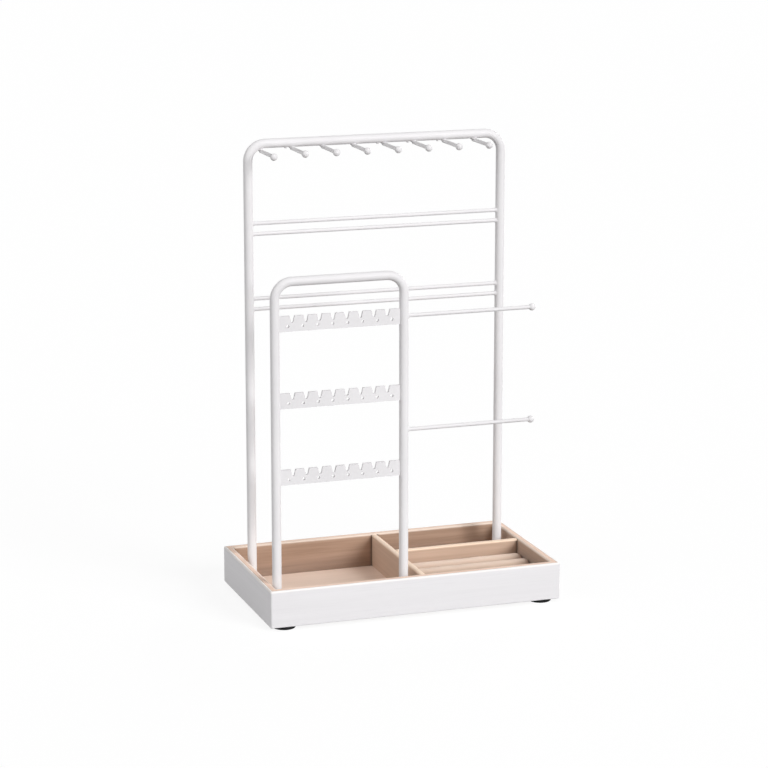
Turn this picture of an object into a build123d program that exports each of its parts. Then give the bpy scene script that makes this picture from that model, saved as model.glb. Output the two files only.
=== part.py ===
from build123d import *
import os
from math import radians, sqrt, tan

# Jewellery stand: an open, divided wooden tray that carries two bent-tube frames.
# The tall frame has necklace hooks and two pairs of thin bars. The short frame has
# three notched earring bars and two bracelet rods. Millimetres, +X right, +Y back, +Z up.
# The origin is the middle of the tray's footprint, on the surface that the feet stand on.

# Tray walls: four mitred boards with a rounded rim and rounded upright corners
tray_width = 280.0
tray_depth = 155.0
wall_height = 34.5
wall_thickness = 7.6
corner_radius = 3.6
rim_radius = 1.6
lower_edge_radius = 0.8

# Floor panel, let into a rebate along the lower inner edge of each wall
floor_thickness = 3.0
rebate_width = 3.8

# Feet: round rubber pads, and how far their edges stand in from the tray's outer faces
foot_diameter = 19.5
foot_height = 3.0
foot_edge_radius = 1.0
foot_side_gap = 5.9
foot_front_gap = 1.5

# Dividers
divider_thickness = 5.6
divider_edge_radius = 1.5
divider_below_rim = 0.8
divider_to_post_gap = 7.5

# Ring cushion: stuffed rolls side by side on a covered board
roll_count = 4
roll_diameter = 18.3
roll_seam_gap = 0.2
roll_flat = 0.5
roll_end_radius = 4.5
roll_crown = 0.25
board_thickness = 3.6
board_margin = 2.8
board_corner_radius = 2.0
cushion_clearance = 0.5
roll_end_gap = 0.4

# Round steel tube of both frames
tube_diameter = 8.5
tube_wall = 1.0
bend_radius = 20.0

# Tall frame, and how far its posts stand from the side walls and the back wall
tall_frame_height = 428.2
tall_side_gap = 5.4
tall_back_gap = 25.6

# Pairs of thin bars across the tall frame, measured down from the top tube's centre
thin_bar_diameter = 3.6
pair_spacing = 9.7
upper_pair_drop = 77.7
pair_pitch = 69.7

# Necklace hooks: straight pegs with ball ends, welded under the top tube
hook_count = 8
hook_diameter = 3.5
hook_ball_diameter = 6.6
hook_reach = 40.0
hook_tail = 2.6
hook_weld_bite = 0.5
first_hook_from_post = 12.7
last_hook_from_post = 26.8

# Short frame, and how far its posts stand from the left wall and the front wall
short_frame_height = 318.5
short_frame_span = 121.1
short_side_gap = 0.9
short_front_gap = 10.6

# Earring bars: flat strips with a row of notches above a row of holes
earring_bar_height = 14.2
earring_bar_thickness = 2.5
top_bar_drop = 37.8
earring_bar_pitch = 70.2
notch_count = 8
notch_mouth = 4.8
notch_root_radius = 1.2
notch_depth = 6.2
first_notch_from_post = 11.7
hole_count = 8
hole_diameter = 2.8
hole_height = 4.8
first_hole_from_post = 7.5

# Bracelet rods: straight rods with ball ends on the short frame's right post
side_rod_diameter = 3.6
side_ball_diameter = 6.6
side_rod_reach = 123.7

# Fixings: a threaded plug in the foot of each post and a countersunk screw from below
plug_length = 14.0
screw_diameter = 4.0
screw_length = 12.0
screw_head_diameter = 7.5
screw_head_angle = 90.0
screw_hole_clearance = 0.15
recess_width = 0.9
recess_length = 3.6
recess_depth = 1.1

# Levels and faces that several pieces share
floor_bottom = foot_height
floor_top = floor_bottom + floor_thickness
rim_top = foot_height + wall_height
inner_x = tray_width / 2 - wall_thickness
inner_y = tray_depth / 2 - wall_thickness
tube_radius = tube_diameter / 2
tube_bore = tube_diameter - 2 * tube_wall

tall_x = inner_x - tall_side_gap - tube_radius
tall_y = inner_y - tall_back_gap - tube_radius
tall_top = tall_frame_height - tube_radius

short_left = -inner_x + short_side_gap + tube_radius
short_right = short_left + short_frame_span
short_y = -inner_y + short_front_gap + tube_radius
short_top = short_frame_height - tube_radius

long_divider_left = short_right + tube_radius + divider_to_post_gap
long_divider_right = long_divider_left + divider_thickness

roll_pitch = roll_diameter + roll_seam_gap
board_depth = roll_count * roll_pitch + 2 * board_margin
board_front = -inner_y + cushion_clearance
cross_divider_front = board_front + board_depth + cushion_clearance
board_top = floor_top + board_thickness

posts = {
    "tall_left": (-tall_x, tall_y),
    "tall_right": (tall_x, tall_y),
    "short_left": (short_left, short_y),
    "short_right": (short_right, short_y),
}


def block(x0, x1, y0, y1, z0, z1):
    return Pos((x0 + x1) / 2, (y0 + y1) / 2, (z0 + z1) / 2) * Box(x1 - x0, y1 - y0, z1 - z0)


def rod(start, end, diameter):
    line = Vector(*end) - Vector(*start)
    section = Plane(origin=start, z_dir=line.normalized()) * Circle(diameter / 2)
    return extrude(section, amount=line.length)


def ball(centre, diameter):
    return Pos(*centre) * Sphere(diameter / 2)


# ---- Tray ----


def tray_ring():
    outline = RectangleRounded(tray_width, tray_depth, corner_radius)
    opening = Rectangle(2 * inner_x, 2 * inner_y)
    ring = extrude(Pos(0, 0, foot_height) * (outline - opening), amount=wall_height)
    rim_edges = ring.faces().sort_by(Axis.Z)[-1].edges()
    ring = fillet(rim_edges, rim_radius)
    lower_edges = ring.faces().sort_by(Axis.Z)[0].outer_wire().edges()
    ring = fillet(lower_edges, lower_edge_radius)
    panel_x = inner_x + rebate_width
    panel_y = inner_y + rebate_width
    return ring - block(-panel_x, panel_x, -panel_y, panel_y, floor_bottom, floor_top)


def rectangle_corners(half_x, half_y):
    return [(-half_x, -half_y), (half_x, -half_y), (half_x, half_y), (-half_x, half_y)]


def tray_walls():
    # Each wall is its share of the ring, between 45 degree mitres at two corners.
    ring = tray_ring()
    reach = 2 * wall_thickness
    outer = rectangle_corners(tray_width / 2, tray_depth / 2)
    inner = rectangle_corners(tray_width / 2 - reach, tray_depth / 2 - reach)
    walls = {}
    for i, side in enumerate(["front", "right", "back", "left"]):
        j = (i + 1) % 4
        wedge = make_face(Polyline(outer[i], outer[j], inner[j], inner[i], close=True))
        walls[f"tray_{side}_wall"] = ring & extrude(wedge, amount=rim_top)
    return walls


def countersunk_hole(x, y):
    shank = rod((x, y, floor_bottom), (x, y, floor_top), screw_diameter + 2 * screw_hole_clearance)
    return shank + Pos(x, y, floor_bottom) * screw_head()


def tray_floor():
    panel_x = inner_x + rebate_width
    panel_y = inner_y + rebate_width
    panel = block(-panel_x, panel_x, -panel_y, panel_y, floor_bottom, floor_top)
    for x, y in posts.values():
        panel -= countersunk_hole(x, y)
    return panel


def rounded_board(x0, x1, y0, y1, top, run):
    # A board on edge whose two long top edges are rounded; run is the axis it lies along.
    board = block(x0, x1, y0, y1, floor_top, top)
    top_edges = board.edges().group_by(Axis.Z)[-1].filter_by(run)
    return fillet(top_edges, divider_edge_radius)


def long_divider():
    top = rim_top - divider_below_rim
    return rounded_board(long_divider_left, long_divider_right, -inner_y, inner_y, top, Axis.Y)


def cross_divider():
    back = cross_divider_front + divider_thickness
    top = rim_top - divider_below_rim
    return rounded_board(long_divider_right, inner_x, cross_divider_front, back, top, Axis.X)


def rubber_foot(x, y):
    pad = Pos(x, y, foot_height / 2) * Cylinder(foot_diameter / 2, foot_height)
    return fillet(pad.edges().group_by(Axis.Z)[0], foot_edge_radius)


# ---- Ring cushion ----


def cushion_board():
    x0 = long_divider_right + cushion_clearance
    x1 = inner_x - cushion_clearance
    board = block(x0, x1, board_front, board_front + board_depth, floor_top, board_top)
    return fillet(board.edges().filter_by(Axis.Z), board_corner_radius)


def ring_roll(index):
    # Stuffed roll: a revolved outline with a slight crown and rounded ends, flat where it is glued.
    radius = roll_diameter / 2
    half = (inner_x - long_divider_right) / 2 - cushion_clearance - roll_end_gap
    middle = (inner_x + long_divider_right) / 2
    shoulder = half - roll_end_radius
    end_radius = radius - roll_crown
    hub = end_radius - roll_end_radius
    crown = ThreePointArc((-shoulder, end_radius), (0, radius), (shoulder, end_radius))
    corner = roll_end_radius * sqrt(0.5)
    right_end = ThreePointArc((shoulder, end_radius), (shoulder + corner, hub + corner), (half, hub))
    left_end = ThreePointArc((-half, hub), (-shoulder - corner, hub + corner), (-shoulder, end_radius))
    core = Polyline((half, hub), (half, 0), (-half, 0), (-half, hub))
    profile = make_face(crown + right_end + core + left_end)
    y = board_front + board_margin + (index + 0.5) * roll_pitch
    z = board_top + radius - roll_flat
    roll = Pos(middle, y, z) * revolve(profile, Axis.X)
    return roll - block(middle - half, middle + half, y - radius, y + radius, floor_top, board_top)


# ---- Bent-tube frames ----


def frame_path(left, right, y, top):
    corners = [(left, y, floor_top), (left, y, top), (right, y, top), (right, y, floor_top)]
    return FilletPolyline(*corners, radius=bend_radius)


def bent_bar(left, right, y, top, diameter):
    path = frame_path(left, right, y, top)
    section = Plane(origin=(left, y, floor_top), z_dir=(0, 0, 1)) * Circle(diameter / 2)
    return sweep(section, path=path)


def tall_envelope():
    return bent_bar(-tall_x, tall_x, tall_y, tall_top, tube_diameter)


def short_envelope():
    return bent_bar(short_left, short_right, short_y, short_top, tube_diameter)


def thin_bar(level, envelope):
    return rod((-tall_x, tall_y, level), (tall_x, tall_y, level), thin_bar_diameter) - envelope


def tube_level(x):
    # Height of the top tube's centre line above a place on X, lower within the two bends.
    into_bend = abs(x) - (tall_x - bend_radius)
    if into_bend <= 0:
        return tall_top
    return tall_top - bend_radius + sqrt(bend_radius ** 2 - into_bend ** 2)


def necklace_hook(index, envelope):
    span = 2 * tall_x - first_hook_from_post - last_hook_from_post
    x = -tall_x + first_hook_from_post + index * span / (hook_count - 1)
    level = tube_level(x) - tube_radius - hook_diameter / 2 + hook_weld_bite
    tip = (x, tall_y - hook_reach, level)
    peg = rod((x, tall_y + hook_tail, level), tip, hook_diameter)
    return peg + ball(tip, hook_ball_diameter) - envelope


def notch():
    root = Pos(0, notch_root_radius - notch_depth) * Circle(notch_root_radius)
    mouth = Pos(0, notch_root_radius / 2) * Rectangle(notch_mouth, notch_root_radius)
    return make_hull(root.edges() + mouth.edges())


def earring_bar(level, envelope):
    middle = (short_left + short_right) / 2
    strip = Rectangle(short_frame_span, earring_bar_height)
    for x in row_between_posts(notch_count, first_notch_from_post):
        strip -= Pos(x, earring_bar_height / 2) * notch()
    for x in row_between_posts(hole_count, first_hole_from_post):
        strip -= Pos(x, hole_height - earring_bar_height / 2) * Circle(hole_diameter / 2)
    plane = Plane(origin=(middle, short_y, level), x_dir=(1, 0, 0), z_dir=(0, -1, 0))
    return extrude(plane * strip, amount=earring_bar_thickness / 2, both=True) - envelope


def row_between_posts(count, end_gap):
    # Evenly spaced places, the first and last one end_gap from the two posts' faces.
    first = tube_radius + end_gap - short_frame_span / 2
    pitch = -2 * first / (count - 1)
    return [first + i * pitch for i in range(count)]


def bracelet_rod(level, envelope):
    tip = (short_right + side_rod_reach, short_y, level)
    return rod((short_right, short_y, level), tip, side_rod_diameter) + ball(tip, side_ball_diameter) - envelope


# ---- Fixings ----


def screw_head():
    # Countersunk cone with its flat face down at z = 0.
    slope = tan(radians(screw_head_angle / 2))
    depth = (screw_head_diameter - screw_diameter) / 2 / slope
    head = Cone(screw_head_diameter / 2, screw_diameter / 2, depth)
    return Pos(0, 0, depth / 2) * head


def frame_screw(x, y):
    shank = rod((0, 0, 0), (0, 0, screw_length), screw_diameter)
    screw = screw_head() + shank
    recess = Box(recess_length, recess_width, 2 * recess_depth) + Box(recess_width, recess_length, 2 * recess_depth)
    return Pos(x, y, floor_bottom) * (screw - recess)


def post_plug(x, y):
    plug = rod((x, y, floor_top), (x, y, floor_top + plug_length), tube_bore)
    return plug - rod((x, y, floor_top), (x, y, floor_bottom + screw_length), screw_diameter)


# ---- The whole stand ----


def all_pieces():
    pieces = tray_walls()
    pieces["tray_floor"] = tray_floor()
    pieces["long_divider"] = long_divider()
    pieces["cross_divider"] = cross_divider()

    pieces["ring_cushion_board"] = cushion_board()
    for i in range(roll_count):
        pieces[f"ring_roll_{i + 1}"] = ring_roll(i)

    tall_outer = tall_envelope()
    pieces["tall_frame_tube"] = tall_outer - bent_bar(-tall_x, tall_x, tall_y, tall_top, tube_bore)
    for i, name in enumerate(["upper", "lower"]):
        middle = tall_top - upper_pair_drop - i * pair_pitch
        pieces[f"{name}_pair_top_bar"] = thin_bar(middle + pair_spacing / 2, tall_outer)
        pieces[f"{name}_pair_bottom_bar"] = thin_bar(middle - pair_spacing / 2, tall_outer)
    for i in range(hook_count):
        pieces[f"necklace_hook_{i + 1}"] = necklace_hook(i, tall_outer)

    short_outer = short_envelope()
    pieces["short_frame_tube"] = short_outer - bent_bar(short_left, short_right, short_y, short_top, tube_bore)
    bar_levels = [short_top - top_bar_drop - i * earring_bar_pitch for i in range(3)]
    for name, level in zip(["top", "middle", "bottom"], bar_levels):
        pieces[f"earring_bar_{name}"] = earring_bar(level, short_outer)
    pieces["bracelet_rod_upper"] = bracelet_rod(bar_levels[0], short_outer)
    pieces["bracelet_rod_lower"] = bracelet_rod((bar_levels[1] + bar_levels[2]) / 2, short_outer)

    for name, (x, y) in posts.items():
        pieces[f"post_plug_{name}"] = post_plug(x, y)
    pieces["frame_screws"] = Compound(children=[frame_screw(x, y) for x, y in posts.values()])

    foot_x = tray_width / 2 - foot_side_gap - foot_diameter / 2
    foot_y = tray_depth / 2 - foot_front_gap - foot_diameter / 2
    for name, x, y in [
        ("front_left", -foot_x, -foot_y),
        ("front_right", foot_x, -foot_y),
        ("back_left", -foot_x, foot_y),
        ("back_right", foot_x, foot_y),
    ]:
        pieces[f"rubber_foot_{name}"] = rubber_foot(x, y)
    return pieces


os.makedirs("parts", exist_ok=True)
for name, piece in all_pieces().items():
    export_step(piece, f"parts/{name}.step")
    print(f"{name:26s} {piece.volume:10.1f} mm3")
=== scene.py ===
import math

import bmesh
import bpy
from mathutils import Matrix, Vector, noise


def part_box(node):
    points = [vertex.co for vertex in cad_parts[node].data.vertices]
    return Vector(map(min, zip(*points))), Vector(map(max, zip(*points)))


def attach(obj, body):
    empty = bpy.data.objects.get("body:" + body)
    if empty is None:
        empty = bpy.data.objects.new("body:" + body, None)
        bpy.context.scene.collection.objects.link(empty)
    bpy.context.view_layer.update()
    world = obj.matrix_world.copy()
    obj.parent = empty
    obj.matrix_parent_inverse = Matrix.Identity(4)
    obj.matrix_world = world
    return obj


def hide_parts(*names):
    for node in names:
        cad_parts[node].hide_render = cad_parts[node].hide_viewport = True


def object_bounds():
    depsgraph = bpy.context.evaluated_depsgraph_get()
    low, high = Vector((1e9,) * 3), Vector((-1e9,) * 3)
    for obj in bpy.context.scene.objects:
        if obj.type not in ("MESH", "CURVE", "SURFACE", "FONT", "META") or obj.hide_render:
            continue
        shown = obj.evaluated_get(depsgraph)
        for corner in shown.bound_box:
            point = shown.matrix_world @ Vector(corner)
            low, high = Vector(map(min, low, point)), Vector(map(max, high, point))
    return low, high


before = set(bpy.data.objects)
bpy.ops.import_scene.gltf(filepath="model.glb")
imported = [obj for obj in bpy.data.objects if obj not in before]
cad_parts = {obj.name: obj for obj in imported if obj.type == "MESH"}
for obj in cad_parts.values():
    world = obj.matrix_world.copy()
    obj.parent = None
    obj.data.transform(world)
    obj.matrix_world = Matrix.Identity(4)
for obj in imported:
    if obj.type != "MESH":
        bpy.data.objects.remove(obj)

# A jewellery stand: a divided tray with two bent-tube frames. Metres, +X right, +Y back, +Z up.

scene = bpy.context.scene
cadLow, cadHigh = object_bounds()
scene.view_settings.view_transform = "Standard"


# Camera, from the front left and a little above

view = {
    "azimuth": math.radians(-19.037),
    "elevation": math.radians(12.964),
    "lens": 126.776,
    "sensor": 36.0,
    "distance": 2.5412,
    "aside": -0.00573,
    "rise": 0.19304,
    "trayBottom": 0.003,
}


def outward(turn, tilt):
    # The direction from the part to a viewer or lamp: 0 is in front, and a turn goes to the right
    return Vector((math.sin(turn) * math.cos(tilt), -math.cos(turn) * math.cos(tilt), math.sin(tilt)))


def makeCamera():
    right = Vector((math.cos(view["azimuth"]), math.sin(view["azimuth"]), 0))
    back = outward(view["azimuth"], view["elevation"])
    up = back.cross(right)
    lens = bpy.data.cameras.new("camera")
    lens.lens = view["lens"]
    lens.sensor_width = view["sensor"]
    camera = bpy.data.objects.new("camera", lens)
    scene.collection.objects.link(camera)
    target = Vector((0, 0, view["trayBottom"])) + right * view["aside"] + up * view["rise"]
    pose = Matrix((right, up, back)).transposed().to_4x4()
    pose.translation = target + back * view["distance"]
    camera.matrix_world = pose
    scene.camera = camera


makeCamera()
print("camera placed")


# Node helpers

shaderSockets = {
    "roughness": "Roughness",
    "metallic": "Metallic",
    "specular": "Specular IOR Level",
    "sheen": "Sheen Weight",
    "sheenRoughness": "Sheen Roughness",
    "sheenTint": "Sheen Tint",
}


def startMaterial(name, **constants):
    material = bpy.data.materials.new(name)
    material.use_nodes = True
    shader = material.node_tree.nodes["Principled BSDF"]
    for key, value in constants.items():
        shader.inputs[shaderSockets[key]].default_value = value
    return material, shader


def feed(material, socket, value):
    if isinstance(value, bpy.types.NodeSocket):
        material.node_tree.links.new(value, socket)
    else:
        socket.default_value = value


def addNode(material, kind, inputs=None, **settings):
    made = material.node_tree.nodes.new("ShaderNode" + kind)
    for key, value in settings.items():
        setattr(made, key, value)
    for key, value in (inputs or {}).items():
        feed(material, made.inputs[key], value)
    return made


def calc(material, operation, *values, clamp=False):
    made = addNode(material, "Math", dict(enumerate(values)), operation=operation, use_clamp=clamp)
    return made.outputs[0]


def mixColours(material, factor, first, second):
    # Sockets 0, 6, 7 and 2 are the factor, the two colours and the result of a colour mix
    return addNode(material, "Mix", {0: factor, 6: first, 7: second}, data_type="RGBA").outputs[2]


def step(material, value, edge, softness):
    # 0 below the edge, 1 above it, with a soft ramp as wide as softness
    away = calc(material, "SUBTRACT", value, edge)
    rising = calc(material, "DIVIDE", away, softness)
    return calc(material, "ADD", rising, 0.5, clamp=True)


def patch(material, place, scale, detail, roughness=0.55, distortion=0.0):
    # Noise over place, stretched by a scale for each direction, in features to the metre
    spread = addNode(material, "Mapping", {"Vector": place, "Scale": scale}).outputs[0]
    inputs = {"Vector": spread, "Scale": 1.0, "Detail": detail, "Roughness": roughness,
              "Distortion": distortion}
    return addNode(material, "TexNoise", inputs).outputs["Fac"]


def ramp(material, value, low, high):
    # 0 up to low, 1 from high on, straight between them
    return addNode(material, "MapRange", {"Value": value, "From Min": low, "From Max": high}).outputs[0]


def oneMinus(material, value):
    return calc(material, "SUBTRACT", 1.0, value)


def roughen(material, shader, height, strength, distance, under=None):
    # Feeds the shader a bump, laid over the one given as under
    inputs = {"Height": height, "Strength": strength, "Distance": distance}
    if under is not None:
        inputs["Normal"] = under
    bump = addNode(material, "Bump", inputs).outputs[0]
    feed(material, shader.inputs["Normal"], bump)
    return bump


def objectPlace(material):
    return addNode(material, "TexCoord").outputs["Object"]


# Finishes

powder = {
    "tube": ((0.845, 0.83, 0.84, 1), (0.805, 0.79, 0.802, 1)),
    # The strips' white is the tube white painted a shade darker, as painted shade on their flat faces
    "strip": ((0.825, 0.81, 0.822, 1), (0.785, 0.77, 0.783, 1)),
    "roughness": 0.45,
    "specular": 0.15,
    "drift": (9, 9, 14),
    "driftRange": (0.35, 0.65),
    "peel": (650, 650, 650),
    "peelStrength": 0.35,
    "peelDepth": 0.00006,
    "grit": (4200, 4200, 4200),
    "gritStrength": 0.12,
    "gritDepth": 0.00002,
}


def powderCoat(name, tone):
    # Satin white powder coat: soft orange peel over fine grit
    material, shader = startMaterial(name, roughness=powder["roughness"], specular=powder["specular"])
    place = objectPlace(material)
    drift = ramp(material, patch(material, place, powder["drift"], detail=2), *powder["driftRange"])
    feed(material, shader.inputs["Base Color"], mixColours(material, drift, *powder[tone]))
    peel = patch(material, place, powder["peel"], detail=1.5)
    grit = patch(material, place, powder["grit"], detail=1)
    soft = roughen(material, shader, peel, powder["peelStrength"], powder["peelDepth"])
    roughen(material, shader, grit, powder["gritStrength"], powder["gritDepth"], under=soft)
    return material


wood = {
    # Face colour and grain colour of each finish
    "white": ((0.83, 0.815, 0.83, 1), (0.73, 0.715, 0.73, 1)),
    "wallTan": ((0.53, 0.362, 0.265, 1), (0.34, 0.212, 0.142, 1)),
    # The rim's tan is the wall tan painted paler on top, as painted light
    "litRimTan": ((0.87, 0.57, 0.42, 1), (0.74, 0.455, 0.325, 1)),
    "dividerTan": ((0.6, 0.43, 0.325, 1), (0.46, 0.315, 0.228, 1)),
    # The floor's tan is painted paler than the walls', as painted light on the up-facing floor
    "litFloorTan": ((0.95, 0.69, 0.54, 1), (0.8, 0.545, 0.4, 1)),
    # How strongly fibres, bands and pores show
    "whiteFigure": (0.24, 0.18, 0.3),
    "tanFigure": (0.6, 0.4, 0.4),
    "rimFigure": (0.32, 0.26, 0.22),
    "fibreRange": (0.36, 0.68),
    "poreRange": (0.58, 0.72),
    "bandRange": (0.3, 0.7),
    # Features to the metre, along and across the board
    "fibres": (7.0, 260.0),
    "pores": (30.0, 1300.0),
    "bands": (1.6, 45.0),
    "fibreRelief": 0.4,
    "wallRelief": (0.35, 0.00012),
    "boardRelief": (0.3, 0.0001),
    # Painted highlights: paler colours on the arrises and divider tops, where the light catches them
    "arris": (0.93, 0.8, 0.69, 1),
    "dividerTopHighlight": (1.0, 0.78, 0.6, 1),
    "whiteArrisHighlight": (0.97, 0.94, 0.93, 1),
    "arrisWidth": 0.0017,
    "paintedLightWidth": 0.0014,
    "wallHighlight": 0.8,
    "dividerHighlight": 0.95,
    # Painted shade in the joints and inner corners
    "joint": (0.04, 0.02, 0.01, 1),
    "jointReach": 0.0035,
    "jointFade": 2.0,
    "jointStrength": 0.9,
    "innerSoft": 0.0002,
    # Where the white meets the tan, from the outer face in, and the mitres
    "paintEdge": 0.0019,
    "paintSoft": 0.0003,
    "paintWaver": 0.00025,
    "seam": (0.4, 0.29, 0.22, 1),
    "seamWidth": 0.0004,
    "seamStrength": 0.55,
    "mitreWidth": 0.00018,
    "mitreSoft": 0.00015,
    "mitreStrength": 0.6,
    # Chalky bloom on the surface
    "wallRoughness": 0.55,
    "wallSpecular": 0.3,
    "boardRoughness": 0.63,
    "rimBloom": 0.6,
    "dividerBloom": 0.5,
    "floorBloom": 1.0,
    "sheenRoughness": 0.6,
    "sheenTint": (1.0, 0.89, 0.8, 1),
    "dividerTint": (1.0, 0.82, 0.68, 1),
}


def grainScale(along, features):
    return tuple(features[0] if i == along else features[1] for i in range(3))


def woodGrain(material, place, along):
    # Fine fibres, short pores and broad bands, all drawn out along the board
    fibres = patch(material, place, grainScale(along, wood["fibres"]), detail=5, roughness=0.62,
                   distortion=0.35)
    pores = patch(material, place, grainScale(along, wood["pores"]), detail=2)
    bands = patch(material, place, grainScale(along, wood["bands"]), detail=2, distortion=0.6)
    return (ramp(material, fibres, *wood["fibreRange"]), ramp(material, pores, *wood["poreRange"]),
            ramp(material, bands, *wood["bandRange"]))


def woodColour(material, grain, tone, figure):
    fibres, pores, bands = grain
    face, dark = tone
    strength = calc(material, "ADD", calc(material, "MULTIPLY", fibres, figure[0]),
                    calc(material, "MULTIPLY", bands, figure[1]))
    base = mixColours(material, strength, face, dark)
    return mixColours(material, calc(material, "MULTIPLY", pores, figure[2]), base, dark)


def woodRelief(material, shader, grain, relief):
    # Raised fibres and sunk pores; relief is a strength and a depth
    fibres, pores, _ = grain
    height = calc(material, "SUBTRACT", calc(material, "MULTIPLY", fibres, wood["fibreRelief"]), pores)
    roughen(material, shader, height, *relief)


def paintedJointShade(material, distance):
    # Painted shade: full strength at a joint, fading out over its reach
    near = oneMinus(material, ramp(material, distance, 0.0, wood["jointReach"]))
    faded = calc(material, "POWER", near, wood["jointFade"])
    return calc(material, "MULTIPLY", faded, wood["jointStrength"])


def offFaces(material, place, node, axis):
    # Distance from the two faces of a node that look along one axis
    low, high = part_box(node)
    away = calc(material, "ABSOLUTE", calc(material, "SUBTRACT", place, (low[axis] + high[axis]) / 2))
    return calc(material, "ABSOLUTE", calc(material, "SUBTRACT", away, (high[axis] - low[axis]) / 2))


def wallColour(material, grain, z, inward, innerFace, tanSide):
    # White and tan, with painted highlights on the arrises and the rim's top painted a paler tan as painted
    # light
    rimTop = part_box("tray_front_wall")[1].z
    rub = wood["paintedLightWidth"]
    litRim = step(material, z, rimTop - rub / 2, rub / 2)
    nearTop = step(material, z, rimTop - rub, rub)
    nearInner = step(material, inward, innerFace - wood["arrisWidth"], wood["arrisWidth"] / 2)
    white = woodColour(material, grain, wood["white"], wood["whiteFigure"])
    # Painted highlight on the white outer arris
    white = mixColours(material, nearTop, white, wood["whiteArrisHighlight"])
    # The rim's top painted a paler tan, as painted light from above
    tan = mixColours(material, litRim, woodColour(material, grain, wood["wallTan"], wood["tanFigure"]),
                     woodColour(material, grain, wood["litRimTan"], wood["rimFigure"]))
    # Painted highlight on the tan inner arris
    highlighted = calc(material, "MULTIPLY", calc(material, "MULTIPLY", nearTop, nearInner), wood["wallHighlight"])
    return mixColours(material, tanSide, white, mixColours(material, highlighted, tan, wood["arris"]))


def wallCornerShade(material, along, x, y, corner, onInner):
    # 1 inside the tray where a wall meets a divider or the next wall, for the painted shade there
    if along == 0:
        offDivider = offFaces(material, x, "long_divider", 0)
    else:
        # The cross divider meets the right wall alone, so the left wall is put out of its reach
        offDivider = calc(material, "ADD", offFaces(material, y, "cross_divider", 1),
                          calc(material, "LESS_THAN", x, 0.0))
    shade = paintedJointShade(material, calc(material, "MINIMUM", offDivider, corner))
    return calc(material, "MULTIPLY", shade, onInner)


def wallSeams(material, edge, tanSide, fromSide, fromFront):
    # The line between the two finishes, and the mitre at each corner
    width = wood["seamWidth"]
    offEdge = calc(material, "ABSOLUTE", calc(material, "SUBTRACT", edge, wood["paintEdge"] + width))
    onEdge = oneMinus(material, step(material, offEdge, width, width))
    offMitre = calc(material, "ABSOLUTE", calc(material, "SUBTRACT", fromSide, fromFront))
    onMitre = oneMinus(material, step(material, offMitre, wood["mitreWidth"], wood["mitreSoft"]))
    tanMitre = calc(material, "MULTIPLY", onMitre, tanSide)
    return calc(material, "MAXIMUM", calc(material, "MULTIPLY", onEdge, wood["seamStrength"]),
                calc(material, "MULTIPLY", tanMitre, wood["mitreStrength"]))


def wallWood(name, along, bloom=0.0):
    # Limed white outside, tan inside and on the rim, with the two meeting just inside the outer arris
    material, shader = startMaterial(name, roughness=wood["wallRoughness"], specular=wood["wallSpecular"],
                                     sheen=bloom, sheenRoughness=wood["sheenRoughness"],
                                     sheenTint=wood["sheenTint"])
    place = objectPlace(material)
    grain = woodGrain(material, place, along)
    x, y, z = addNode(material, "SeparateXYZ", {"Vector": place}).outputs
    fromSide = calc(material, "SUBTRACT", cadHigh.x, calc(material, "ABSOLUTE", x))
    fromFront = calc(material, "SUBTRACT", cadHigh.y, calc(material, "ABSOLUTE", y))
    inward = calc(material, "MINIMUM", fromSide, fromFront)
    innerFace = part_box("tray_front_wall")[1].y + cadHigh.y
    corner = calc(material, "SUBTRACT", calc(material, "MAXIMUM", fromSide, fromFront), innerFace)
    onInner = step(material, inward, innerFace - wood["innerSoft"], wood["innerSoft"])
    waver = calc(material, "MULTIPLY", calc(material, "SUBTRACT", grain[0], 0.5), wood["paintWaver"])
    edge = calc(material, "ADD", inward, waver)
    tanSide = step(material, edge, wood["paintEdge"], wood["paintSoft"])
    colour = wallColour(material, grain, z, inward, innerFace, tanSide)
    # Painted shade darkens the tray's inner corners and the joints with the dividers
    colour = mixColours(material, wallCornerShade(material, along, x, y, corner, onInner), colour, wood["joint"])
    seam = wallSeams(material, edge, tanSide, fromSide, fromFront)
    feed(material, shader.inputs["Base Color"], mixColours(material, seam, colour, wood["seam"]))
    woodRelief(material, shader, grain, wood["wallRelief"])
    return material


def tanWood(name, along, tone, bloom, divider=None):
    # Tan fine-grained board with a chalky bloom; a divider has a painted highlight on its top and painted
    # shade at its ends
    material, shader = startMaterial(name, roughness=wood["boardRoughness"], sheen=bloom,
                                     sheenRoughness=wood["sheenRoughness"],
                                     sheenTint=wood["dividerTint" if divider else "sheenTint"])
    place = objectPlace(material)
    grain = woodGrain(material, place, along)
    colour = woodColour(material, grain, wood[tone], wood["tanFigure"])
    if divider:
        split = addNode(material, "SeparateXYZ", {"Vector": place}).outputs
        # Painted shade at the divider's ends, where it meets the walls
        shade = paintedJointShade(material, offFaces(material, split[along], divider, along))
        colour = mixColours(material, shade, colour, wood["joint"])
        # Painted highlight along the divider's top
        highlighted = step(material, split[2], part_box(divider)[1].z - wood["paintedLightWidth"], wood["paintedLightWidth"])
        highlighted = calc(material, "MULTIPLY", highlighted, wood["dividerHighlight"])
        colour = mixColours(material, highlighted, colour, wood["dividerTopHighlight"])
    feed(material, shader.inputs["Base Color"], colour)
    woodRelief(material, shader, grain, wood["boardRelief"])
    return material


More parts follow.
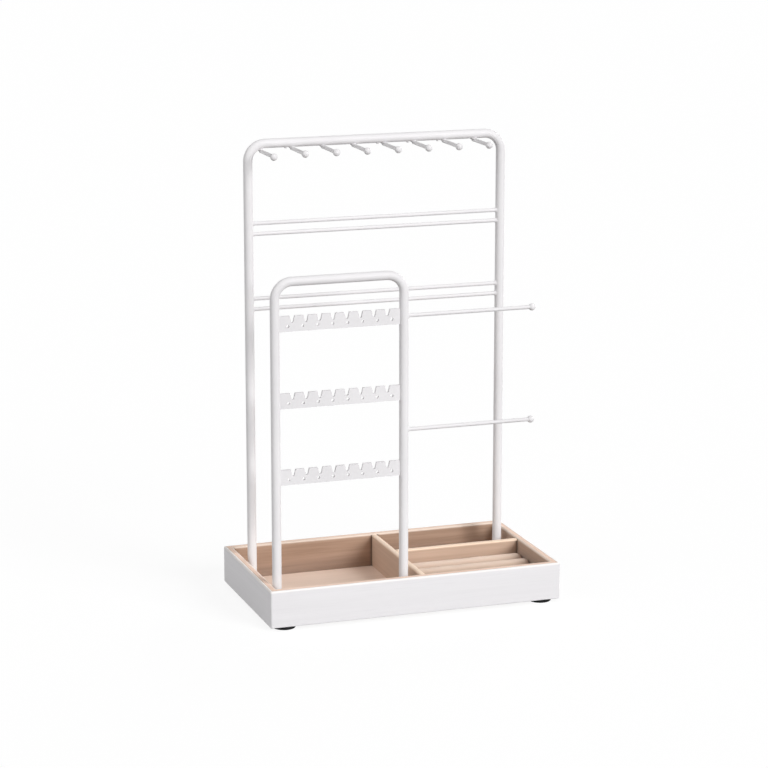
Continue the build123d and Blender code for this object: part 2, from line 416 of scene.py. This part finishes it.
velvetCloth = {
    # Crowns painted paler and flanks darker, as painted light from above
    "crown": (1.0, 0.79, 0.66, 1),
    "crownBrushed": (0.97, 0.74, 0.6, 1),
    "shadedFlank": (0.52, 0.345, 0.248, 1),
    "flankBrushed": (0.4, 0.25, 0.17, 1),
    "crownDepth": 0.0042,
    "crownFade": 1.4,
    "roughness": 0.85,
    "specular": 0.2,
    "sheen": 1.0,
    "sheenRoughness": 0.95,
    "sheenTint": (1.0, 0.84, 0.72, 1),
    "streak": (16, 230, 230),
    "streakRange": (0.35, 0.66),
    "streakStrength": 0.5,
    "blotch": (26, 60, 60),
    "blotchRange": (0.35, 0.68),
    "blotchStrength": 0.25,
    "pile": (3600, 3600, 3600),
    "pileRange": (0.35, 0.7),
    "speckStrength": 0.16,
    "pileStrength": 0.5,
    "pileDepth": 0.00018,
}


def velvet():
    # Short pile, brushed along the rolls; crowns painted paler and flanks darker, as painted light from
    # above
    cloth = velvetCloth
    material, shader = startMaterial("tanVelvet", roughness=cloth["roughness"], specular=cloth["specular"],
                                     sheen=cloth["sheen"], sheenRoughness=cloth["sheenRoughness"],
                                     sheenTint=cloth["sheenTint"])
    place = objectPlace(material)
    streak = patch(material, place, cloth["streak"], detail=4, distortion=0.5)
    streak = ramp(material, streak, *cloth["streakRange"])
    blotch = ramp(material, patch(material, place, cloth["blotch"], detail=2), *cloth["blotchRange"])
    pile = patch(material, place, cloth["pile"], detail=2)
    brushed = calc(material, "ADD", calc(material, "MULTIPLY", streak, cloth["streakStrength"]),
                   calc(material, "MULTIPLY", blotch, cloth["blotchStrength"]))
    crown = mixColours(material, brushed, cloth["crown"], cloth["crownBrushed"])
    shadedFlank = mixColours(material, brushed, cloth["shadedFlank"], cloth["flankBrushed"])
    z = addNode(material, "SeparateXYZ", {"Vector": place}).outputs[2]
    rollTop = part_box("ring_roll_1")[1].z
    # Painted light: paler towards the crowns, darker down the flanks
    height = ramp(material, z, rollTop - cloth["crownDepth"], rollTop)
    colour = mixColours(material, calc(material, "POWER", height, cloth["crownFade"]), shadedFlank, crown)
    speck = calc(material, "MULTIPLY", ramp(material, pile, *cloth["pileRange"]), cloth["speckStrength"])
    feed(material, shader.inputs["Base Color"], mixColours(material, speck, colour, cloth["flankBrushed"]))
    roughen(material, shader, pile, cloth["pileStrength"], cloth["pileDepth"])
    return material


rubberPad = {
    "black": (0.007, 0.007, 0.008, 1),
    "dust": (0.022, 0.021, 0.02, 1),
    "roughness": 0.7,
    "specular": 0.15,
    "dustScale": (220, 220, 420),
    "dustRange": (0.45, 0.75),
    "dustStrength": 0.5,
    "grain": (2600, 2600, 2600),
    "grainStrength": 0.25,
    "grainDepth": 0.0001,
}


def rubber():
    # Matt black with a little dust
    pad = rubberPad
    material, shader = startMaterial("blackRubber", roughness=pad["roughness"], specular=pad["specular"])
    place = objectPlace(material)
    dust = ramp(material, patch(material, place, pad["dustScale"], detail=4), *pad["dustRange"])
    dusty = calc(material, "MULTIPLY", dust, pad["dustStrength"])
    feed(material, shader.inputs["Base Color"], mixColours(material, dusty, pad["black"], pad["dust"]))
    grain = patch(material, place, pad["grain"], detail=2)
    roughen(material, shader, grain, pad["grainStrength"], pad["grainDepth"])
    return material


plating = {
    "zinc": (0.62, 0.63, 0.66, 1),
    "dull": (0.45, 0.45, 0.47, 1),
    "cloud": (380, 380, 380),
    "cloudRange": (0.35, 0.7),
    "roughness": 0.28,
    "dullRoughness": 0.2,
    "grain": (1900, 1900, 1900),
    "grainStrength": 0.2,
    "grainDepth": 0.00006,
}


def zincPlate():
    # Bright zinc with duller, rougher clouds
    material, shader = startMaterial("zincPlate", metallic=1.0)
    place = objectPlace(material)
    cloud = ramp(material, patch(material, place, plating["cloud"], detail=4), *plating["cloudRange"])
    colour = mixColours(material, cloud, plating["zinc"], plating["dull"])
    feed(material, shader.inputs["Base Color"], colour)
    rougher = calc(material, "MULTIPLY", cloud, plating["dullRoughness"])
    feed(material, shader.inputs["Roughness"], calc(material, "ADD", rougher, plating["roughness"]))
    grain = patch(material, place, plating["grain"], detail=2)
    roughen(material, shader, grain, plating["grainStrength"], plating["grainDepth"])
    return material


finishes = {
    "powder": powderCoat("whitePowderCoat", "tube"),
    "stripPowder": powderCoat("whiteStripCoat", "strip"),
    "wallAlongX": wallWood("limedWoodAlongX", 0),
    "wallAlongY": wallWood("limedWoodAlongY", 1),
    "rimAlongX": wallWood("rimWoodAlongX", 0, wood["rimBloom"]),
    "rimAlongY": wallWood("rimWoodAlongY", 1, wood["rimBloom"]),
    "floor": tanWood("tanFloorWood", 0, "litFloorTan", wood["floorBloom"]),
    "dividerAlongX": tanWood("tanDividerAlongX", 0, "dividerTan", wood["dividerBloom"], "cross_divider"),
    "dividerAlongY": tanWood("tanDividerAlongY", 1, "dividerTan", wood["dividerBloom"], "long_divider"),
    "velvet": velvet(),
    "rubber": rubber(),
    "zinc": zincPlate(),
}
print("finishes mixed:", len(finishes))


# Shape helpers

# Points closer together than this are one point, and faces that turn less than this are one face
same = 1e-6
flat = math.radians(0.5)


def addPiece(name, shape, finish, nodes, smoothUnder=40):
    # finish is one name, or a list of names for the shape's material indices
    bmesh.ops.recalc_face_normals(shape, faces=shape.faces)
    mesh = bpy.data.meshes.new(name)
    shape.to_mesh(mesh)
    shape.free()
    for each in [finish] if isinstance(finish, str) else finish:
        mesh.materials.append(finishes[each])
    mesh.shade_smooth()
    mesh.set_sharp_from_angle(angle=math.radians(smoothUnder))
    piece = bpy.data.objects.new(name, mesh)
    scene.collection.objects.link(piece)
    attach(piece, "root")
    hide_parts(*nodes)
    return piece


def coatNode(node, finish):
    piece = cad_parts[node]
    piece.data.materials.clear()
    piece.data.materials.append(finishes[finish])


def boxShape(node):
    # A plain box as large as a CAD node
    low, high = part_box(node)
    shape = bmesh.new()
    place = Matrix.Translation((low + high) / 2) @ Matrix.Diagonal((high - low).to_4d())
    bmesh.ops.create_cube(shape, size=1.0, matrix=place)
    return shape


def mergedCopy(node):
    # A CAD node's mesh with its flat faces whole again
    shape = bmesh.new()
    shape.from_mesh(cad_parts[node].data)
    bmesh.ops.remove_doubles(shape, verts=shape.verts, dist=same)
    bmesh.ops.dissolve_limit(shape, angle_limit=flat, verts=shape.verts, edges=shape.edges)
    return shape


def turned(profile, origin, direction, steps):
    # A shape of (along, radius) points spun round a line that starts at origin
    shape = bmesh.new()
    points = [shape.verts.new((radius, 0, along)) for along, radius in profile]
    edges = [shape.edges.new(pair) for pair in zip(points, points[1:])]
    bmesh.ops.spin(shape, geom=points + edges, cent=(0, 0, 0), axis=(0, 0, 1),
                   angle=2 * math.pi, steps=steps, use_merge=True)
    place = direction.to_track_quat("Z", "Y").to_matrix().to_4x4()
    place.translation = origin
    bmesh.ops.transform(shape, matrix=place, verts=shape.verts)
    bmesh.ops.remove_doubles(shape, verts=shape.verts, dist=same)
    return shape


def pushOut(shape, edges, move):
    # Draws a straight stretch of tube out of a ring of edges, and returns its far ring
    grown = bmesh.ops.extrude_edge_only(shape, edges=edges)["geom"]
    verts = [g for g in grown if isinstance(g, bmesh.types.BMVert)]
    bmesh.ops.translate(shape, vec=move, verts=verts)
    return [g for g in grown if isinstance(g, bmesh.types.BMEdge)]


def bendRound(shape, edges, centre, angle, steps):
    # Draws a bent stretch of tube out of a ring of edges, and returns its far ring
    verts = list({v for e in edges for v in e.verts})
    last = bmesh.ops.spin(shape, geom=verts + edges, cent=centre, axis=(0, 1, 0), angle=angle, steps=steps)
    return [g for g in last["geom_last"] if isinstance(g, bmesh.types.BMEdge)]


def arc(centre, radius, first, last, steps):
    # (along, radius) points on a round stretch of a turned profile; angles from the line's start
    turns = [first + (last - first) * i / steps for i in range(steps + 1)]
    return [(centre - radius * math.cos(t), radius * math.sin(t)) for t in turns]


def roundStart(radius, edge, steps=6):
    # The start of a turned profile with its edge rounded off
    return [(along, radius - edge + extra) for along, extra in arc(edge, edge, 0, math.pi / 2, steps)]


# Bent tubes

tube = {"sides": 48, "bendSteps": 18, "bendRadius": 0.016}


def bentTube(name, node):
    low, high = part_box(node)
    radius = (high.y - low.y) / 2
    y = (low.y + high.y) / 2
    left, right, top = low.x + radius, high.x - radius, high.z - radius
    bend = tube["bendRadius"]
    shape = bmesh.new()
    bmesh.ops.create_circle(shape, segments=tube["sides"], radius=radius,
                            matrix=Matrix.Translation((left, y, low.z)))
    edges = pushOut(shape, list(shape.edges), Vector((0, 0, top - bend - low.z)))
    edges = bendRound(shape, edges, (left + bend, y, top - bend), math.pi / 2, tube["bendSteps"])
    edges = pushOut(shape, edges, Vector((right - left - 2 * bend, 0, 0)))
    edges = bendRound(shape, edges, (right - bend, y, top - bend), math.pi / 2, tube["bendSteps"])
    pushOut(shape, edges, Vector((0, 0, low.z + bend - top)))
    bmesh.ops.remove_doubles(shape, verts=shape.verts, dist=same)
    bmesh.ops.holes_fill(shape, edges=shape.edges, sides=0)
    addPiece(name, shape, "powder", [node])
    return {"left": left, "right": right, "y": y, "top": top, "radius": radius}


tall = bentTube("tallTube", "tall_frame_tube")
short = bentTube("shortTube", "short_frame_tube")
print("tubes bent")


# Welded bars, pegs and rods

weld = {
    # The fillet round a welded bar: distance from the post's face, and how much wider than the bar
    "flare": [(-0.0005, 0.00115), (0.0, 0.0009), (0.0004, 0.00055), (0.0009, 0.00025), (0.0015, 0.00006),
              (0.0022, 0)],
    "reach": 0.0022,
    "wrap": 0.98,
    "steps": 32,
}
rod = {"radius": 0.0018}
ballTip = {"steps": 14, "neck": 0.0004, "neckTurn": 0.06}


def weldStart(radius):
    return [(along, radius + extra) for along, extra in weld["flare"]]


def weldEnd(radius, length):
    return [(length - along, radius + extra) for along, extra in reversed(weld["flare"])]


def seatOnPost(shape, post, frameTube, side):
    # Lets the weld follow the round post at X = post; side is 1 where the bar leaves towards +X, else -1
    radius = frameTube["radius"]
    widest = radius * weld["wrap"]
    for v in shape.verts:
        along = (v.co.x - post) * side - radius
        if along < weld["reach"]:
            offset = min(abs(v.co.y - frameTube["y"]), widest)
            sag = radius - math.sqrt(radius ** 2 - offset ** 2)
            v.co.x -= side * sag * min(1.0, (weld["reach"] - along) / weld["reach"])


def ballEnd(length, shaft, ball):
    # The end of a turned profile: a ball of radius ball, centred at length
    start = math.asin(shaft / ball)
    neck = (length - ball * math.cos(start) - ballTip["neck"], shaft)
    return [neck] + arc(length, ball, start + ballTip["neckTurn"], math.pi, ballTip["steps"])


def thinBar(name, node):
    low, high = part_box(node)
    radius = (high.z - low.z) / 2
    level = (high.z + low.z) / 2
    start, end = tall["left"] + tall["radius"], tall["right"] - tall["radius"]
    profile = weldStart(radius) + weldEnd(radius, end - start)
    shape = turned(profile, Vector((start, tall["y"], level)), Vector((1, 0, 0)), weld["steps"])
    seatOnPost(shape, tall["left"], tall, 1)
    seatOnPost(shape, tall["right"], tall, -1)
    bmesh.ops.holes_fill(shape, edges=shape.edges, sides=0)
    addPiece(name, shape, "powder", [node])


def braceletRod(name, node):
    low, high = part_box(node)
    ball = (high.z - low.z) / 2
    level = (high.z + low.z) / 2
    start, tip = short["right"] + short["radius"], high.x - ball
    profile = weldStart(rod["radius"]) + ballEnd(tip - start, rod["radius"], ball)
    shape = turned(profile, Vector((start, short["y"], level)), Vector((1, 0, 0)), weld["steps"])
    seatOnPost(shape, short["right"], short, 1)
    bmesh.ops.holes_fill(shape, edges=shape.edges, sides=0)
    addPiece(name, shape, "powder", [node])


peg = {
    "radius": 0.00175,
    "tailRound": 0.0016,
    "bead": (0.0030, 0.0042, 0.0016),
    "beadBack": 0.0012,
    "bite": 0.0005,
    "drip": (0.0016, 0.0014, 0.0011),
    "dripAway": 0.0062,
    "dripped": (1, 2, 5, 6, 7),
    "lumpSides": (24, 12),
}


def weldLump(shape, place, size):
    around, upright = peg["lumpSides"]
    lump = bmesh.ops.create_uvsphere(shape, u_segments=around, v_segments=upright, radius=1.0)["verts"]
    bmesh.ops.scale(shape, vec=size, verts=lump)
    bmesh.ops.translate(shape, vec=place, verts=lump)


def necklacePeg(number):
    node = "necklace_hook_" + str(number)
    low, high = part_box(node)
    ball = (high.x - low.x) / 2
    x, level = (low.x + high.x) / 2, (low.z + high.z) / 2
    length = high.y - low.y - ball
    profile = [(0, 0)] + roundStart(peg["radius"], peg["tailRound"]) + ballEnd(length, peg["radius"], ball)
    shape = turned(profile, Vector((x, high.y, level)), Vector((0, -1, 0)), weld["steps"])
    # The weld between the peg and the tube above it, and on some pegs a drip beside it
    tubeBottom = level + peg["radius"] - peg["bite"]
    weldLump(shape, (x, tall["y"] + peg["beadBack"], tubeBottom), peg["bead"])
    if number in peg["dripped"]:
        weldLump(shape, (x - peg["dripAway"], tall["y"], tubeBottom), peg["drip"])
    addPiece("necklacePeg" + str(number), shape, "powder", [node])


for pair in ["upper", "lower"]:
    thinBar(pair + "PairTopBar", pair + "_pair_top_bar")
    thinBar(pair + "PairBottomBar", pair + "_pair_bottom_bar")
for number in range(1, 9):
    necklacePeg(number)
braceletRod("braceletRodUpper", "bracelet_rod_upper")
braceletRod("braceletRodLower", "bracelet_rod_lower")
print("bars, pegs and rods welded")


# Earring bars: the cut strips with softened edges

strip = {"edge": 0.00035, "edgeSegments": 2, "sharpOver": math.radians(40), "smoothUnder": 20}


def earringBar(place):
    node = "earring_bar_" + place
    shape = mergedCopy(node)
    sharp = [e for e in shape.edges if len(e.link_faces) == 2 and e.calc_face_angle(0) > strip["sharpOver"]]
    bmesh.ops.bevel(shape, geom=sharp, offset=strip["edge"], affect="EDGES", segments=strip["edgeSegments"],
                    profile=0.5, material=-1, clamp_overlap=True)
    addPiece("earringBar" + place.capitalize(), shape, "stripPowder", [node],
             strip["smoothUnder"])


for place in ["top", "middle", "bottom"]:
    earringBar(place)
print("earring bars cut")


# Tray: the walls get a limed outside and a rim with painted light and painted highlights, the dividers
# rounder top edges

board = {
    "edge": 0.0015,
    "segments": 6,
    "cadCorner": 0.0036,
    "corner": 0.0018,
    "levelUnder": 0.05,
    "bottomUnder": -0.5,
}


def tightenCorner(v):
    # Moves a point of a round upright corner to the same place on the photographed, tighter one
    shift = board["cadCorner"] - board["corner"]
    centre = Vector((cadHigh.x, cadHigh.y)) - Vector((1, 1)) * board["cadCorner"]
    away = Vector((abs(v.co.x), abs(v.co.y))) - centre
    if min(away) > -same and away.length > shift:
        away = away * (1 - shift / away.length) + Vector((shift, shift))
        v.co.x = math.copysign(centre.x + away.x, v.co.x)
        v.co.y = math.copysign(centre.y + away.y, v.co.y)


def wallBoard(side, along):
    # Material 0 is outside and below, material 1 on the rim and inside
    node = "tray_" + side + "_wall"
    shape = mergedCopy(node)
    for v in shape.verts:
        tightenCorner(v)
    shape.normal_update()
    for face in shape.faces:
        centre = face.calc_center_median()
        inward = min(cadHigh.x - abs(centre.x), cadHigh.y - abs(centre.y))
        outside = face.normal.z < board["levelUnder"] and inward < wood["paintEdge"]
        face.material_index = 0 if outside or face.normal.z < board["bottomUnder"] else 1
    addPiece(side + "WallBoard", shape, ["wallAlong" + along, "rimAlong" + along], [node])


def dividerBoard(name, node, along, finish):
    low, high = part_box(node)
    shape = boxShape(node)
    top = [e for e in shape.edges if all(v.co.z > high.z - same for v in e.verts)
           and abs((e.verts[0].co - e.verts[1].co)[along]) > (high - low)[along] / 2]
    bmesh.ops.bevel(shape, geom=top, offset=board["edge"], affect="EDGES", segments=board["segments"],
                    profile=0.5, material=-1)
    addPiece(name, shape, finish, [node])


for side in ["front", "back"]:
    wallBoard(side, "X")
for side in ["left", "right"]:
    wallBoard(side, "Y")
coatNode("tray_floor", "floor")
dividerBoard("longDividerBoard", "long_divider", 1, "dividerAlongY")
dividerBoard("crossDividerBoard", "cross_divider", 0, "dividerAlongX")
print("tray finished")


# Feet, screws and plugs

foot = {
    "spread": 0.0006,
    "edge": 0.0004,
    "topEdge": 0.0003,
    "dish": 0.0003,
    # The dish under the foot ends between these shares of its radius
    "dishInner": 0.62,
    "dishOuter": 0.7,
    "steps": 64,
    "smoothUnder": 50,
}


def rubberFoot(name, node):
    low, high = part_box(node)
    radius = (high.x - low.x) / 2 + foot["spread"]
    height = high.z - low.z
    dish = foot["dish"]
    profile = [(dish, 0), (dish, radius * foot["dishInner"]), (0, radius * foot["dishOuter"])]
    profile += roundStart(radius, foot["edge"])
    profile += [(height - foot["topEdge"], radius), (height, radius - foot["topEdge"]), (height, 0)]
    origin = Vector(((low.x + high.x) / 2, (low.y + high.y) / 2, low.z))
    shape = turned(profile, origin, Vector((0, 0, 1)), foot["steps"])
    addPiece(name, shape, "rubber", [node], foot["smoothUnder"])


for end in ["front", "back"]:
    for side in ["left", "right"]:
        rubberFoot("foot" + end.capitalize() + side.capitalize(), "rubber_foot_" + end + "_" + side)
coatNode("frame_screws", "zinc")
for post in ["tall_left", "tall_right", "short_left", "short_right"]:
    coatNode("post_plug_" + post, "zinc")
print("feet and screws finished")


# Ring rolls: stuffed velvet, swelled by a short cloth run

roll = {
    "startInset": 0.0006,
    "sides": 48,
    "endRound": 0.0042,
    "voxel": 0.0018,
    "pressure": 4.0,
    "frames": 20,
    "swellCap": 0.0009,
    "lump": 0.00022,
    "lumpScale": 70.0,
    "lumpShift": (3.1, 1.7, 0),
    "gluedBelow": 0.0012,
}


def rollBlank(low, high):
    # The cut cover before stuffing: a slim cylinder along X with rounded ends
    radius = (high.y - low.y) / 2 - roll["startInset"]
    length = high.x - low.x - 2 * roll["startInset"]
    start = Vector(((low.x + high.x - length) / 2, (low.y + high.y) / 2, high.z - (high.y - low.y) / 2))
    head = roundStart(radius, roll["endRound"])
    tail = [(length - along, extra) for along, extra in reversed(head)]
    return turned([(0, 0)] + head + tail + [(length, 0)], start, Vector((1, 0, 0)), roll["sides"])


def evaluatedMesh(piece):
    return bpy.data.meshes.new_from_object(piece.evaluated_get(bpy.context.evaluated_depsgraph_get()))


def swell(piece, floorLevel, seed):
    # Voxel remesh, then cloth under pressure, with the glued underside held still
    remesh = piece.modifiers.new("remesh", "REMESH")
    remesh.mode = "VOXEL"
    remesh.voxel_size = roll["voxel"]
    piece.data = evaluatedMesh(piece)
    piece.modifiers.remove(remesh)
    offset = Vector(roll["lumpShift"]) * seed
    for v in piece.data.vertices:
        v.co += v.normal * noise.noise(v.co * roll["lumpScale"] + offset) * roll["lump"]
    start = [v.co.copy() for v in piece.data.vertices]
    held = piece.vertex_groups.new(name="glued")
    glued = [v.index for v in piece.data.vertices if v.co.z < floorLevel + roll["gluedBelow"]]
    held.add(glued, 1.0, "ADD")
    cloth = piece.modifiers.new("cloth", "CLOTH")
    cloth.settings.use_pressure = True
    cloth.settings.uniform_pressure_force = roll["pressure"]
    cloth.settings.effector_weights.gravity = 0
    cloth.settings.vertex_group_mass = "glued"
    cloth.point_cache.frame_end = roll["frames"]
    for f in range(1, roll["frames"] + 1):
        scene.frame_set(f)
    swelled = evaluatedMesh(piece)
    piece.modifiers.remove(cloth)
    for v, new, old in zip(piece.data.vertices, swelled.vertices, start):
        move = new.co - old
        v.co = old + move * min(1.0, roll["swellCap"] / max(move.length, same))
    scene.frame_set(1)
    for v in piece.data.vertices:
        v.co.z = max(v.co.z, floorLevel)


def ringRoll(number):
    node = "ring_roll_" + str(number)
    low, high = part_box(node)
    piece = addPiece("ringRoll" + str(number), rollBlank(low, high), "velvet", [node])
    swell(piece, low.z, number)
    piece.data.shade_smooth()
    finer = piece.modifiers.new("finer", "SUBSURF")
    finer.levels = finer.render_levels = 1


cushion = {"edge": 0.0011, "segments": 4}


def cushionPad():
    # The velvet-covered board under the rolls
    shape = boxShape("ring_cushion_board")
    bmesh.ops.bevel(shape, geom=list(shape.edges), offset=cushion["edge"], affect="EDGES",
                    segments=cushion["segments"], profile=0.5, material=-1)
    addPiece("ringPad", shape, "velvet", ["ring_cushion_board"])


for number in range(1, 5):
    ringRoll(number)
cushionPad()
print("ring rolls stuffed")


# Lamps, world and floor

studio = {
    "ambient": 0.24,
    "floorSize": 60.0,
    "floorBounce": 0.4,
    "floorGlow": 0.87,
    "floorFace": 0.17,
    "lamps": [
        # name, azimuth, elevation, strength, spread: wide soft lamps, the same at any distance
        ("key", 27, 23, 2.6, 28),
        ("side", -80, 24, 1.04, 60),
        ("back", 138, 4, 1.6, 20),
    ],
}


def makeLamp(name, azimuth, elevation, strength, spread):
    light = bpy.data.lights.new(name, "SUN")
    light.energy = strength
    light.angle = math.radians(spread)
    lamp = bpy.data.objects.new(name, light)
    scene.collection.objects.link(lamp)
    away = outward(math.radians(azimuth), math.radians(elevation))
    lamp.location = away
    lamp.rotation_euler = away.to_track_quat("Z", "Y").to_euler()


def seenRay(material):
    # 1 for what the camera, a reflection or a transmission sees, 0 for bounced light
    path = addNode(material, "LightPath").outputs
    seen = calc(material, "MAXIMUM", path["Is Camera Ray"], path["Is Glossy Ray"])
    return calc(material, "MAXIMUM", seen, path["Is Transmission Ray"])


def makeWorld():
    world = bpy.data.worlds.new("studio")
    scene.world = world
    world.use_nodes = True
    background = world.node_tree.nodes["Background"]
    background.inputs["Color"].default_value = (1, 1, 1, 1)
    seen = seenRay(world)
    gap = calc(world, "MULTIPLY", seen, 1.0 - studio["ambient"])
    feed(world, background.inputs["Strength"], calc(world, "ADD", gap, studio["ambient"]))


def makeFloor():
    shape = bmesh.new()
    bmesh.ops.create_grid(shape, x_segments=1, y_segments=1, size=studio["floorSize"] / 2)
    mesh = bpy.data.meshes.new("floor")
    shape.to_mesh(mesh)
    shape.free()
    floor = bpy.data.objects.new("floor", mesh)
    scene.collection.objects.link(floor)
    material = bpy.data.materials.new("paleFloor")
    material.use_nodes = True
    nodes = material.node_tree.nodes
    nodes.remove(nodes["Principled BSDF"])
    dim, face, strength = studio["floorBounce"], studio["floorFace"], studio["floorGlow"]
    bounce = addNode(material, "BsdfDiffuse", {"Color": (dim, dim, dim, 1)}).outputs[0]
    lit = addNode(material, "BsdfDiffuse", {"Color": (face, face, face, 1)}).outputs[0]
    glow = addNode(material, "Emission", {"Color": (1, 1, 1, 1), "Strength": strength}).outputs[0]
    shown = addNode(material, "AddShader", {0: lit, 1: glow}).outputs[0]
    mixed = addNode(material, "MixShader", {0: seenRay(material), 1: bounce, 2: shown}).outputs[0]
    feed(material, nodes["Material Output"].inputs["Surface"], mixed)
    mesh.materials.append(material)


for lamp in studio["lamps"]:
    makeLamp(*lamp)
makeWorld()
makeFloor()
print("studio lit")
